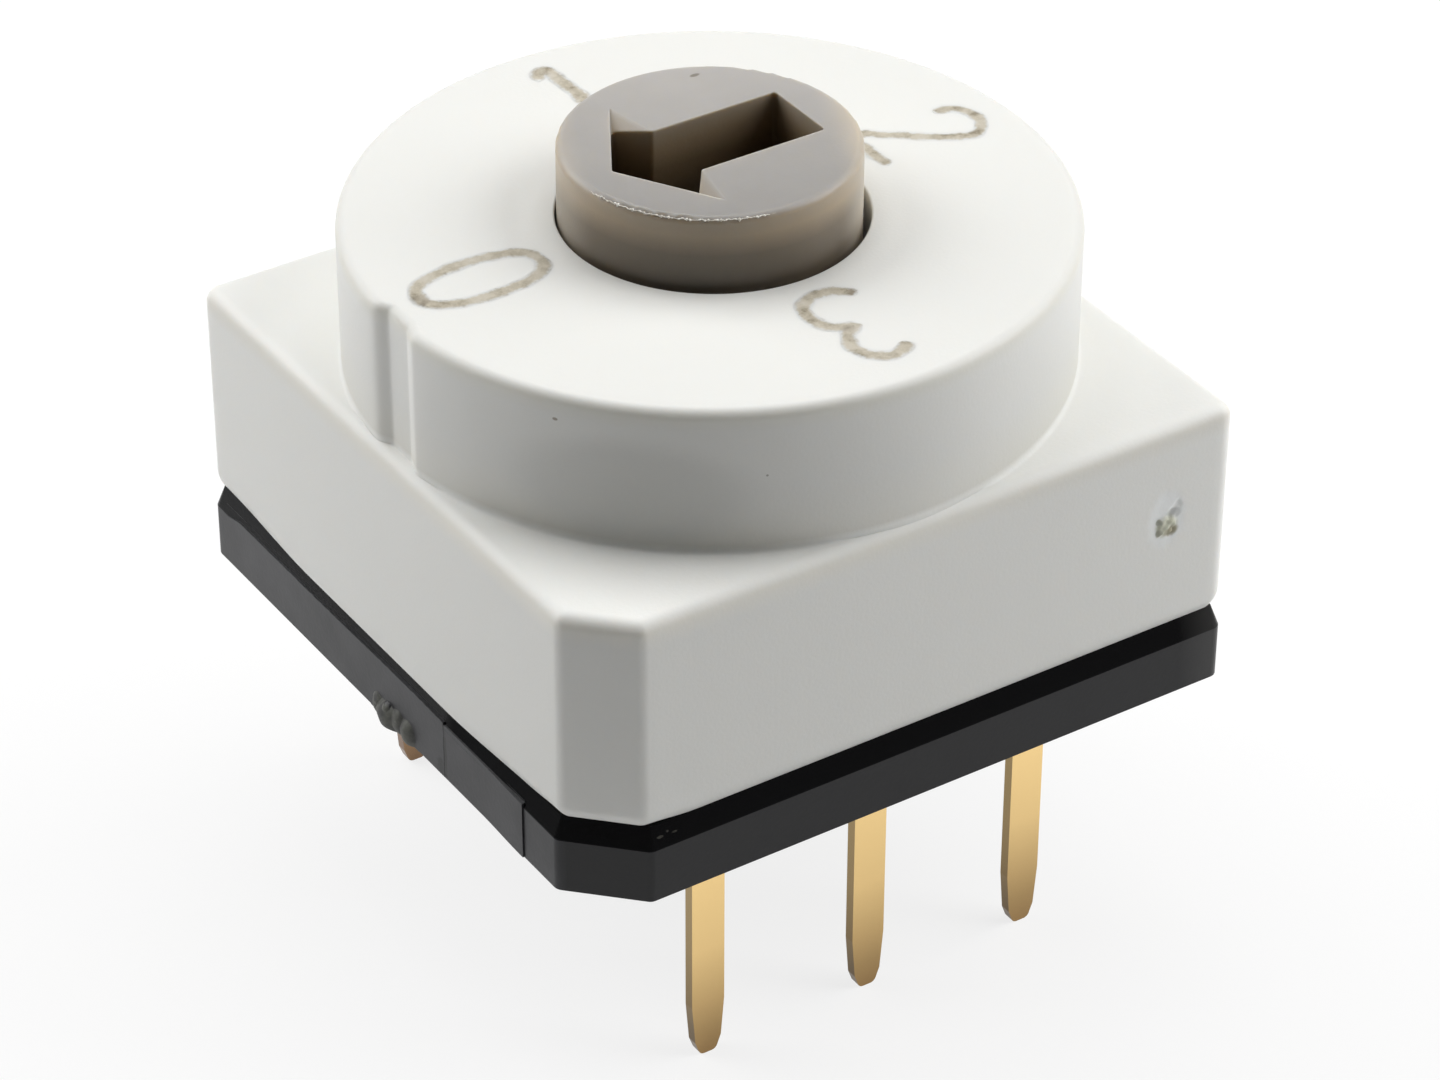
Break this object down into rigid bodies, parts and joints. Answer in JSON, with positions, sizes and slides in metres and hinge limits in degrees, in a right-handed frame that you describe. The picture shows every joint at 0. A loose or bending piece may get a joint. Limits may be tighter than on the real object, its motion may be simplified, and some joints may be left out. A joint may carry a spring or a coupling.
{
  "type": "rotary dip switch",
  "caption": "Small square board-mounted rotary switch with a round numbered boss, a rotor turned by an arrow-shaped driver slot, and rows of flat gold-plated pins.",
  "frame": {"origin": "on the rotor's axis, in the plane where the base sits on the board", "axes": "+Z along the rotor's axis, away from the board; the 0 of the dial and the index notch are at -X, the bevelled corner is at -X -Y, and both rows of pins run along X"},
  "size_m": [0.0099, 0.0098, 0.0112],
  "materials": {
    "housing_plastic": "fine moulded satin",
    "rotor_plastic": "moulded satin",
    "seal_rubber": "smooth moulded",
    "spring_steel": "rolled strip",
    "contact_gold": "gold-plated strip",
    "base_plastic": "moulded, half gloss",
    "pin_gold": "gold-plated stamping"
  },
  "bodies": {
    "switch_body": {"housing": "housing_plastic", "base": "base_plastic", "detent_spring_front": "spring_steel", "detent_spring_back": "spring_steel", "terminal_common": "pin_gold", "terminal_0": "pin_gold", "terminal_1": "pin_gold", "terminal_2": "pin_gold", "terminal_3": "pin_gold"},
    "rotor_set": {"rotor": "rotor_plastic", "o_ring": "seal_rubber", "wiper": "contact_gold"}
  },
  "joints": [
    {"name": "rotor_turn", "type": "hinge", "parent": "switch_body", "child": "rotor_set", "pos_m": [0, 0, 0.00735], "axis": [0, 0, 1], "continuous": true, "deforming": ["detent_spring_front", "detent_spring_back"]}
  ]
}
